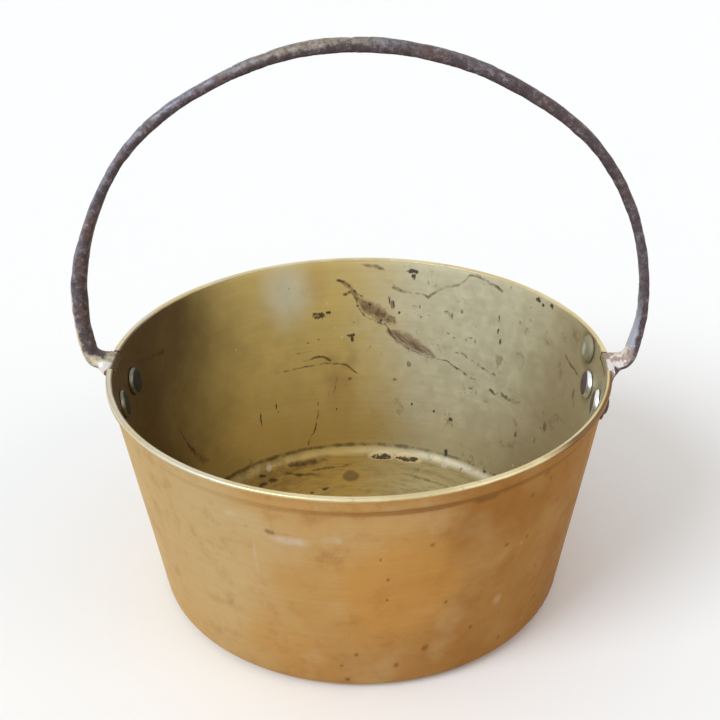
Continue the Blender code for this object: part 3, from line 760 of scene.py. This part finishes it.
    rough_floor = skin.warp(90, 6, 4)
    x_floor, y_floor, _ = skin.split(rough_floor)
    spread = skin.value("DIVIDE", skin.from_axis(x_floor, y_floor), PAN_HEIGHT)
    turn, _ = skin.polar(rough_floor)
    streaks = skin.ribbons((turn, spread), FLOOR_STREAKS, 3.4)
    streaks = skin.broken(streaks, medium, 0.4)
    skin.lay(skin.times(streaks, on_floor), tone(74, 56, 36), 0.8)
    worn = skin.join(skin.times(skin.value("ARCTAN2", y, x), 5), skin.times(around, 170), 0)
    worn = skin.fade(skin.noise(1, 5, 0.7, worn), 0.44, 0.66, 0.05, 0.36)
    skin.lay(skin.times(on_floor, worn), tone(112, 86, 50))
    residue = skin.fade(floor_spots(skin, rough_floor, RESIDUE), 1.6, 0.3, 0, 0.9)
    residue = skin.stain(residue, medium, tone(50, 38, 28), 0.85)
    patch = floor_spots(skin, rough_floor, PATCH)
    skin.wash(patch, 1.25, 0.8, tone(104, 76, 52), 0.6)
    pale = floor_spots(skin, rough_floor, PALE_SPOT)
    skin.wash(pale, 1.2, 0.6, tone(206, 196, 178), 0.7)
    crust = floor_spots(skin, skin.warp(200, 2, 3), CRUST)
    skin.wash(crust, 1.35, 1.1, tone(226, 206, 160), 0.8)
    lumps = skin.broken(skin.fade(crust, 1.3, 0.6, 0, 0.6), crumbs, 0.16)
    skin.lay(lumps, tone(52, 38, 36), 0.92)

    # Dirt in the crease above the corner and round the rivets, and the lip
    much = skin.fade(clouds, 0.38, 0.54, 0.45, 0.85)
    much = skin.line(skin.mm_fade(x, 0, -60), 0.25, much)
    crease = skin.mm_fade(skin.apart(z, 8.4 * MM), 3, 0.4)
    skin.stain(skin.times(crease, much), medium, tone(58, 46, 30), 0.6)
    size = (14 * MM, 11 * MM, 12 * MM)
    near = skin.nearest(place, [(rivet_middle(name, pan), size) for name in RIVETS])
    grime = skin.fade(skin.line(medium, 0.9, near), 1.8, 1.1, 0, 0.55)
    skin.lay(grime, tone(88, 70, 56))
    worn_lip(skin, pan, PAN_HEIGHT - 0.9 * MM)

    stuck = skin.most(burns, dark, residue, lumps)
    rough = skin.line(stuck, 0.25, skin.fade(medium, 0.3, 0.8, 0.4, 0.58))
    height = skin.line(fine, 0.35, skin.line(stuck, 2, wipes))
    return skin.finish(
        metallic=skin.line(stuck, -0.5, 0.6),
        roughness=skin.line(low_down, 0.14, rough),
        normal=skin.bump(height, 0.06 * MM, 0.5),
    )


def forged_iron(handle, pan):
    """Reads facing, which is 1 on sides turned to the upper left and 0 on sides turned away, and
    paints the iron paler and bluish there as painted light.
    """
    skin = Skin("handle_iron_forged")
    x, y, z = skin.split(skin.place)
    patches = skin.noise(90, 5, 0.65, skin.warp(60, 6))
    fine = skin.noise(420, 4, 0.7)
    rusty = skin.noise(42, 4, 0.6)
    scabs = skin.noise(300, 5, 0.75)
    torn = skin.less(patches, 0.5)

    # Forge scale, painted pale and bluish as painted light on the sides turned to the upper left,
    # in patches, with rust and scabs
    side = skin.mm_fade(x, -20, 110, 1, 0.72)
    leg = skin.mm_fade(z, 290, 240, 0, 0.28)
    side = skin.line(leg, skin.mm_fade(x, 0, 100), side)
    lit = skin.line(torn, 0.9, skin.times(skin.vertex("facing"), side))
    lit = skin.line(skin.less(fine, 0.5), 0.5, lit)
    skin.coat = skin.blend(skin.fade(lit, 0.22, 0.95), handle.scale, handle.lit_and_rubbed)
    skin.wash(rusty, 0.52, 0.68, handle.rust, 0.6)
    # Painted highlight: a tan band along the top of the bow, on its lit faces
    crest = skin.line(torn, 60 * MM, skin.apart(x, -24 * MM))
    crest = skin.times(
        skin.mm_fade(crest, 64, 8),
        skin.fade(lit, 0.25, 0.6, 0, 0.9),
        skin.mm_fade(z, 280, 310),
    )
    skin.lay(crest, tone(142, 129, 112))
    pale = skin.fade(patches, 0.48, 0.66, 0, 0.6)
    skin.stain(pale, fine, tone(166, 160, 170), 0.5)
    dark = skin.fade(patches, 0.5, 0.34, 0, 0.6)
    skin.stain(dark, fine, tone(64, 50, 50), 0.6)
    skin.wash(scabs, 0.54, 0.4, tone(52, 42, 45), 0.6)
    skin.wash(scabs, 0.54, 0.68, tone(156, 154, 166), 0.45)

    # The foot and arm at the right: the foot painted pale and cool as painted light where it faces
    # the light, and the arm's bright scoured tint laid only on its lit faces
    right = skin.times(skin.mm_fade(z, 195, 168), skin.mm_fade(x, 140, 150))
    cool = skin.fade(lit, 0.3, 0.65, 0, 0.9)
    skin.lay(skin.times(right, cool), tone(180, 183, 196))
    on_arm = skin.mm_fade(skin.line(torn, 8 * MM, z), 162, 157)
    tint = skin.blend(skin.fade(rusty, 0.4, 0.58, 0, 0.6), handle.scoured, tone(200, 178, 158))
    tint = skin.blend(skin.mm_fade(y, -4, 9, 0, 0.8), tint, tone(196, 180, 138))
    stains = skin.times(skin.broken(skin.fade(patches, 0.42, 0.6, 0, 0.9), fine), 0.8)
    tint = skin.blend(stains, tint, tone(134, 102, 88))
    skin.lay(skin.times(right, on_arm, skin.fade(lit, 0.12, 0.4)), tint)

    # The left foot, with its pale tint laid on its lit faces as painted light, a pale fleck, and
    # the pale outer edge of the leg above it, painted on its outward faces as painted highlight
    foot = skin.mm_fade(skin.line(torn, 8 * MM, z), 176, 167)
    left = skin.times(skin.mm_fade(x, -140, -146), foot)
    tint = skin.blend(skin.fade(patches, 0.42, 0.58), tone(132, 112, 92), tone(190, 180, 150))
    skin.lay(skin.times(left, skin.fade(lit, 0.3, 0.6, 0, 0.85)), tint)
    middle = (-154.5 * MM, -11 * MM, PAN_HEIGHT - 1 * MM)
    white = skin.spot(skin.warp(110, 4, 3), middle, (5 * MM, 6 * MM, 6 * MM))
    skin.wash(white, 1.2, 0.6, tone(226, 226, 220), 0.9)
    edge = skin.times(
        skin.fade(skin.line(torn, 0.3, skin.vertex("outward")), 0.62, 0.8),
        skin.mm_fade(x, -145, -150),
        skin.mm_fade(z, 196, 195, 0, 0.85),
        skin.fade(scabs, 0.42, 0.54, 0.45, 1),
    )
    skin.lay(edge, tone(218, 194, 180))

    # The ends of the arms in the wall, painted brown at the left and pale at the right as painted
    # shade and painted light, like the walls round them; and the palms
    bore = bore_radius(pan)
    end = skin.fade(skin.from_axis(x, y), bore + 1.6 * MM, bore + 0.4 * MM)
    end = skin.times(end, skin.fade(z, PAN_HEIGHT + 4 * MM, PAN_HEIGHT + 2 * MM))
    to_right = skin.mm_fade(x, -100, 100)
    skin.lay(end, skin.blend(to_right, tone(84, 66, 44), tone(140, 128, 98)))
    palm = skin.fade(z, PAN_HEIGHT - 3 * MM, PAN_HEIGHT - 6 * MM, 0, 0.85)
    skin.lay(palm, tone(104, 72, 52))
    return skin.finish(
        metallic=0.3,
        roughness=skin.fade(patches, 0.35, 0.65, 0.66, 0.5),
        normal=skin.bump(skin.line(patches, 1.5, fine), 0.2 * MM, 0.9),
    )


def rivet_steel(rivets):
    """Reads crown, which is 1 in the grimy middle of a head and 0 on its clean edge.

    It is 2 on the rusty tails. On the rivet that is dull all over it runs from 0 in the middle
    to -1 on the edge, where the wall's colour is painted on as painted reflection. The heads at
    the left are painted darker, with near black middles, as painted shade.
    """
    skin = Skin("rivet_metal_worn")
    to_right = skin.mm_fade(skin.split(skin.place)[0], -100, 100)
    crown = skin.vertex("crown")
    stains = skin.noise(160, 4, 0.65, skin.warp(120, 3))
    edge = skin.line(skin.less(stains, 0.5), 0.25, crown)
    grime_and_shade = skin.fade(edge, 0.08, 0.17, 0, 0.94)
    # Painted shade: the heads at the left duller and darker, their grimy middles near black
    bright = skin.blend(to_right, tone(118, 114, 94), rivets.metal)
    skin.coat = skin.blend(skin.fade(stains, 0.55, 0.72, 0, 0.4), bright, rivets.grime)
    skin.lay(grime_and_shade, skin.blend(to_right, tone(13, 9, 6), rivets.grime))
    rusty = skin.blend(stains, tone(96, 70, 54), tone(70, 50, 40))
    skin.wash(crown, 1.2, 1.6, rusty)
    # Painted reflection: the rim rivet's flank made dull and given the wall's colour
    dull = skin.fade(edge, -0.16, -0.5)
    skin.lay(dull, tone(136, 131, 104))
    rough = skin.line(grime_and_shade, 0.42, skin.fade(stains, 0.35, 0.7, 0.28, 0.4))
    return skin.finish(
        metallic=skin.line(skin.most(grime_and_shade, dull), -0.6, 0.9),
        roughness=skin.line(dull, 0.25, rough),
        normal=skin.bump(skin.noise(900, 3, 0.6), 0.05 * MM, 0.4),
    )


def wall_place(azimuth, depth, pan):
    """A point on the wall's outer face."""
    around = math.radians(azimuth)
    radius = RIM_RADIUS - pan.lip_proud - depth * math.tan(pan.lean)
    return Vector((radius * math.cos(around), radius * math.sin(around), PAN_HEIGHT - depth))


def rivet_middle(name, pan):
    side, azimuth, depth = RIVETS[name]
    middle = wall_place(azimuth, depth, pan)
    return (side * middle.x, middle.y, middle.z)


def rivet_turn(name, pan):
    """The matrix that sets an upright rivet, tail up, square to the wall."""
    side, azimuth, _ = RIVETS[name]
    around = math.radians(azimuth if side > 0 else 180 - azimuth)
    turn = Matrix.Rotation(around, 4, "Z") @ Matrix.Rotation(math.pi / 2 + pan.lean, 4, "Y")
    return Matrix.Translation(rivet_middle(name, pan)) @ turn


def turned(work, corners, steps, longest):
    """Spins a half section round the axis.

    A corner is its distance from the axis, its height and how far its rounding reaches along the
    lines next to it. Lines longer than the longest step are cut into even parts first.
    """
    points = [work.verts.new((x, 0, z)) for x, z, reach in corners]
    for ends in zip(points, points[1:]):
        work.edges.new(ends)
    for point, (_, _, reach) in zip(points, corners):
        if reach > 0:
            bmesh.ops.bevel(
                work,
                geom=[point],
                offset=reach,
                offset_type="OFFSET",
                segments=6,
                profile=0.5,
                affect="VERTICES",
                material=-1,
            )
    for edge in list(work.edges):
        cuts = int(edge.calc_length() / longest)
        if cuts:
            bmesh.ops.subdivide_edges(work, edges=[edge], cuts=cuts)
    geom = work.verts[:] + work.edges[:]
    bmesh.ops.spin(
        work, geom=geom, cent=(0, 0, 0), axis=(0, 0, 1), angle=math.tau, steps=steps, use_merge=True
    )
    bmesh.ops.remove_doubles(work, verts=work.verts[:], dist=1e-6)
    bmesh.ops.dissolve_degenerate(work, edges=work.edges[:], dist=1e-7)
    bmesh.ops.recalc_face_normals(work, faces=work.faces[:])


def mesh_of(work, name):
    """Turns the work into a mesh and closes it."""
    mesh = bpy.data.meshes.new(name)
    work.to_mesh(mesh)
    work.free()
    return mesh


def work_on(mesh):
    work = bmesh.new()
    work.from_mesh(mesh)
    return work


def add_object(name, data):
    made = bpy.data.objects.new(name, data)
    bpy.context.scene.collection.objects.link(made)
    return made


def add_piece(mesh, materials, sharp=40):
    mesh.shade_smooth()
    mesh.set_sharp_from_angle(angle=math.radians(sharp))
    for material in materials:
        mesh.materials.append(material)
    return add_object(mesh.name, mesh)


def applied(mesh, name, kind, **settings):
    """The mesh after one modifier, which is given by its kind and its settings."""
    holder = add_object(name, mesh)
    modifier = holder.modifiers.new(kind, kind)
    for key, value in settings.items():
        setattr(modifier, key, value)
    graph = bpy.context.evaluated_depsgraph_get()
    result = bpy.data.meshes.new_from_object(holder.evaluated_get(graph))
    bpy.data.objects.remove(holder)
    result.name = name
    return result


def uneven(place, slow, fast, shift):
    """A slow noise with half as much of a faster one on it."""
    return noise.noise(place * slow) + 0.5 * noise.noise(place * fast + Vector(shift))


def lip_and_rivet_cuts(pan, rivets):
    """Cutters for the notches that hold the arms and the holes that hold the rivets."""
    work = bmesh.new()
    long, tall, depth = 20 * MM, 10 * MM, 14 * MM
    low = PAN_HEIGHT - ARM_THICKNESS - rivets.seam
    for side in (1, -1):
        made = bmesh.ops.create_cube(work, size=1)["verts"]
        wide = 2 * (ARM_HALF_WIDTH + rivets.seam)
        bmesh.ops.scale(work, vec=(long, wide, tall), verts=made)
        middle = (side * RIM_RADIUS, -ARM_FORWARD, low + tall / 2)
        bmesh.ops.translate(work, vec=middle, verts=made)
    radius = rivets.shank / 2 + rivets.gap
    for name in RIVETS:
        made = bmesh.ops.create_cone(
            work, cap_ends=True, segments=32, radius1=radius, radius2=radius, depth=depth
        )["verts"]
        bmesh.ops.transform(work, matrix=rivet_turn(name, pan), verts=made)
    bmesh.ops.recalc_face_normals(work, faces=work.faces[:])
    return add_object("pan_cuts", mesh_of(work, "pan_cuts"))


class JAMKETTLE_OT_pan(bpy.types.Operator):
    """Builds the raised brass pan with its rolled lip, notches and rivet holes"""

    bl_idname = "jam_kettle.pan"
    bl_label = "Brass pan"

    def execute(self, context):
        pan = context.scene.jam_kettle_pan
        slope = math.tan(pan.lean)
        wall = RIM_RADIUS - pan.lip_proud
        bore = wall - pan.sheet / math.cos(pan.lean)
        turn = math.tan((math.pi / 2 - pan.lean) / 2)
        shelf = wall + pan.collar_step
        end = pan.collar_depth + 2 * pan.collar_step
        edge = pan.lip_round
        corners = [
            (0, pan.sheet, 0),
            (bore - slope * (PAN_HEIGHT - pan.sheet), pan.sheet, (pan.corner - pan.sheet) * turn),
            (bore, PAN_HEIGHT, edge),
            (RIM_RADIUS, PAN_HEIGHT, edge),
            (RIM_RADIUS, PAN_HEIGHT - pan.lip_height, edge),
            (shelf - slope * pan.lip_height, PAN_HEIGHT - pan.lip_height, edge / 4),
            (shelf - slope * pan.collar_depth, PAN_HEIGHT - pan.collar_depth, edge / 8),
            (wall - slope * end, PAN_HEIGHT - end, edge / 8),
            (wall - slope * PAN_HEIGHT, 0, pan.corner * turn),
            (0, 0, 0),
        ]
        work = bmesh.new()
        turned(work, corners, pan.steps, pan.ring_gap)
        for vert in work.verts:
            x, y, z = vert.co
            middle = math.sin(math.pi * min(1.0, z / PAN_HEIGHT))
            away = math.hypot(x, y)
            if away > edge:
                # Slow unevenness of sheet that was raised by hand
                place = Vector((x / away, y / away, z * 4)) * 0.15
                shift = uneven(place, 16, 37, (3, 1, 7)) * pan.ripple * middle
                vert.co.x += x / away * shift
                vert.co.y += y / away * shift
        mesh = mesh_of(work, "pan_turned")
        cutter = lip_and_rivet_cuts(pan, context.scene.jam_kettle_rivets)
        cut = applied(mesh, "pan_body", "BOOLEAN", object=cutter, solver="EXACT")
        bpy.data.objects.remove(cutter)
        for face in cut.polygons:
            x, y, z = face.center
            away = max(math.hypot(x, y), edge)
            inward = -(face.normal.x * x + face.normal.y * y) / away > FACES_IN
            low_down = away < bore - edge and z < PAN_HEIGHT / 2
            face.material_index = int(inward or (face.normal.z > FACES_IN and low_down))
        piece = add_piece(cut, [outside_brass(pan), inside_brass(pan)])
        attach(piece, "root")
        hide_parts("pan")
        return {"FINISHED"}


class JAMKETTLE_OT_handle(bpy.types.Operator):
    """Builds the forged handle from the model's solid, with soft blends, hammer marks and pits"""

    bl_idname = "jam_kettle.handle"
    bl_label = "Forged handle"

    def execute(self, context):
        handle = context.scene.jam_kettle_handle
        work = work_on(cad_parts["handle"].data)
        bmesh.ops.remove_doubles(work, verts=work.verts[:], dist=1e-5)
        mesh = mesh_of(work, "handle_solid")
        settings = {"mode": "VOXEL", "voxel_size": handle.grain, "use_smooth_shade": True}
        mesh = applied(mesh, "handle_forging", "REMESH", **settings)
        work = work_on(mesh)
        for _ in range(2):
            axes = {"use_axis_x": True, "use_axis_y": True, "use_axis_z": True}
            bmesh.ops.smooth_vert(work, verts=work.verts[:], factor=0.5, **axes)
        work.normal_update()
        moves = []
        for vert in work.verts:
            place = vert.co
            blow = uneven(place, 95, 210, (5, 2, 9))
            pit = max(0.0, noise.noise(place * 420 + Vector((1, 8, 4))) - PIT_FROM)
            free = min(1.0, max(0.0, (place.z - PAN_HEIGHT) / FREE_ABOVE))
            rough = ARM_SHARE + (1 - ARM_SHARE) * free
            shift = (blow * handle.hammer - pit * handle.pit * PIT_GAIN) * rough
            moves.append(vert.normal * shift)
        for vert, move in zip(work.verts, moves):
            vert.co += move
        # Which way each vertex faces, for the painted light and painted highlight of the iron
        facing = work.verts.layers.float.new("facing")
        outward = work.verts.layers.float.new("outward")
        for vert in work.verts:
            vert[facing] = max(0.0, vert.normal.dot(UPPER_LEFT))
            vert[outward] = max(0.0, -vert.normal.x, -vert.normal.z if vert.co.x < 0 else 0.0)
        work.to_mesh(mesh)
        work.free()
        mesh.materials.clear()
        piece = add_piece(mesh, [forged_iron(handle, context.scene.jam_kettle_pan)], 180)
        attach(piece, "root")
        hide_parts("handle")
        return {"FINISHED"}


class JAMKETTLE_OT_rivets(bpy.types.Operator):
    """Builds the five rivets with their domed heads, shanks and peened ends"""

    bl_idname = "jam_kettle.rivets"
    bl_label = "Rivets"

    def execute(self, context):
        pan = context.scene.jam_kettle_pan
        rivets = context.scene.jam_kettle_rivets
        head = rivets.head / 2
        under_head = -pan.sheet - rivets.gap - head**2 / (2 * bore_radius(pan))
        crown = under_head - rivets.head_height
        under_tail = pan.collar_step + 2 * rivets.gap + rivets.palm
        tail = rivets.tail / 2
        peak = under_tail + rivets.tail_height
        shank = rivets.shank / 2
        corners = [
            (0, peak, 0),
            (0.55 * tail, peak - 0.12 * rivets.tail_height, 0.25 * tail),
            (0.95 * tail, peak - 0.55 * rivets.tail_height, 0.2 * tail),
            (tail, under_tail, 0.15 * MM),
            (shank, under_tail, 0),
            (shank, under_head, 0),
            (head, under_head, 0.15 * MM),
            (0.93 * head, under_head - 0.55 * rivets.head_height, 0.16 * head),
            (0.62 * head, crown + 0.06 * rivets.head_height, 0.22 * head),
            (0, crown, 0),
        ]
        material = rivet_steel(rivets)
        for index, name in enumerate(RIVETS):
            work = bmesh.new()
            turned(work, corners, RIVET_STEPS, RIVET_RING_GAP)
            layer = work.verts.layers.float.new("crown")
            back = GRIME_AND_SHADE_BACK[RIVETS[name][0]] * head
            for vert in work.verts:
                x, y, z = vert.co
                if under_head + SEAT <= z <= under_tail - SEAT:
                    continue
                if z > 0:
                    vert[layer] = 2
                elif name == "right_rim":
                    vert[layer] = -math.hypot(0.8 * x, 1.4 * y) / head
                else:
                    vert[layer] = max(0.0, 1 - math.hypot(x, y - back) / head)
                dent = noise.noise(vert.co * 260 + Vector((3, index * 5, 5)))
                vert.co += vert.co.normalized() * dent * DENT * MM
            bmesh.ops.transform(work, matrix=rivet_turn(name, pan), verts=work.verts[:])
            piece = add_piece(mesh_of(work, f"rivet_head_{name}"), [material])
            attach(piece, "root")
            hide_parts(f"rivet_{name}")
        return {"FINISHED"}


def soft_sun(name, place, tint, strength, spread):
    """A wide soft light that shines from a place towards the pan."""
    data = bpy.data.lights.new(name, "SUN")
    data.energy = strength
    data.angle = spread
    data.color = tint
    lamp = add_object(name, data)
    lamp.location = place
    lamp.rotation_euler = Vector(place).to_track_quat("Z", "Y").to_euler()


class JAMKETTLE_OT_stage(bpy.types.Operator):
    """Sets the pale floor, the soft lamps, the sky and the camera"""

    bl_idname = "jam_kettle.stage"
    bl_label = "Floor, lamps and camera"

    def execute(self, context):
        scene = context.scene
        stage = scene.jam_kettle_stage
        work = bmesh.new()
        bmesh.ops.create_circle(work, cap_ends=True, segments=96, radius=stage.floor_radius)
        skin = Skin("studio_floor")
        grain = skin.fade(skin.noise(4, 2), 0.3, 0.7, 0, 0.02)
        shade = skin.blend(grain, stage.floor, (0.8, 0.8, 0.8))
        material = skin.finish(base_color=shade, roughness=0.9, specular_ior_level=0.1)
        add_piece(mesh_of(work, "studio_floor"), [material])

        # The sky lights the pan at its own level, and shows white to the camera and in the metal
        sky = Skin("studio_sky", "worlds", "Background")
        rays = [
            sky.node("LightPath", {}, f"Is {ray} Ray")
            for ray in ("Camera", "Glossy", "Transmission")
        ]
        level = sky.fade(sky.most(*rays), 0, 1, stage.sky, 1)
        scene.world = sky.finish(strength=level, color=(1, 0.99, 0.975))

        soft_sun("window", *WINDOW, stage.key, stage.spread)
        soft_sun("room", *ROOM, stage.fill, stage.spread)

        data = bpy.data.cameras.new("camera")
        data.lens = stage.lens
        data.sensor_width = 36
        data.clip_start = 0.05
        data.clip_end = 50
        camera = add_object("camera", data)
        camera.location = CAMERA_PLACE
        camera.rotation_euler = [math.radians(turn) for turn in CAMERA_TURN]
        scene.camera = camera
        scene.view_settings.view_transform = "Standard"
        return {"FINISHED"}


class JAMKETTLE_PT_build(bpy.types.Panel):
    bl_label = "Jam kettle"
    bl_idname = "JAMKETTLE_PT_build"
    bl_space_type = "VIEW_3D"
    bl_region_type = "UI"
    bl_category = "Jam Kettle"

    def draw(self, context):
        for operator, settings, _ in STEPS:
            box = self.layout.box()
            box.operator(operator.bl_idname)
            group = getattr(context.scene, settings)
            for key in group.__annotations__:
                box.prop(group, key)


STEPS = (
    (JAMKETTLE_OT_stage, "jam_kettle_stage", JAMKETTLE_PG_stage),
    (JAMKETTLE_OT_pan, "jam_kettle_pan", JAMKETTLE_PG_pan),
    (JAMKETTLE_OT_handle, "jam_kettle_handle", JAMKETTLE_PG_handle),
    (JAMKETTLE_OT_rivets, "jam_kettle_rivets", JAMKETTLE_PG_rivets),
)


def register():
    for operator, key, group in STEPS:
        bpy.utils.register_class(group)
        setattr(bpy.types.Scene, key, PointerProperty(type=group))
        bpy.utils.register_class(operator)
    bpy.utils.register_class(JAMKETTLE_PT_build)


def unregister():
    bpy.utils.unregister_class(JAMKETTLE_PT_build)
    for operator, key, group in reversed(STEPS):
        bpy.utils.unregister_class(operator)
        delattr(bpy.types.Scene, key)
        bpy.utils.unregister_class(group)


def main():
    register()
    bpy.ops.jam_kettle.stage()
    bpy.ops.jam_kettle.pan()
    bpy.ops.jam_kettle.handle()
    bpy.ops.jam_kettle.rivets()


if __name__ == "__main__":
    main()
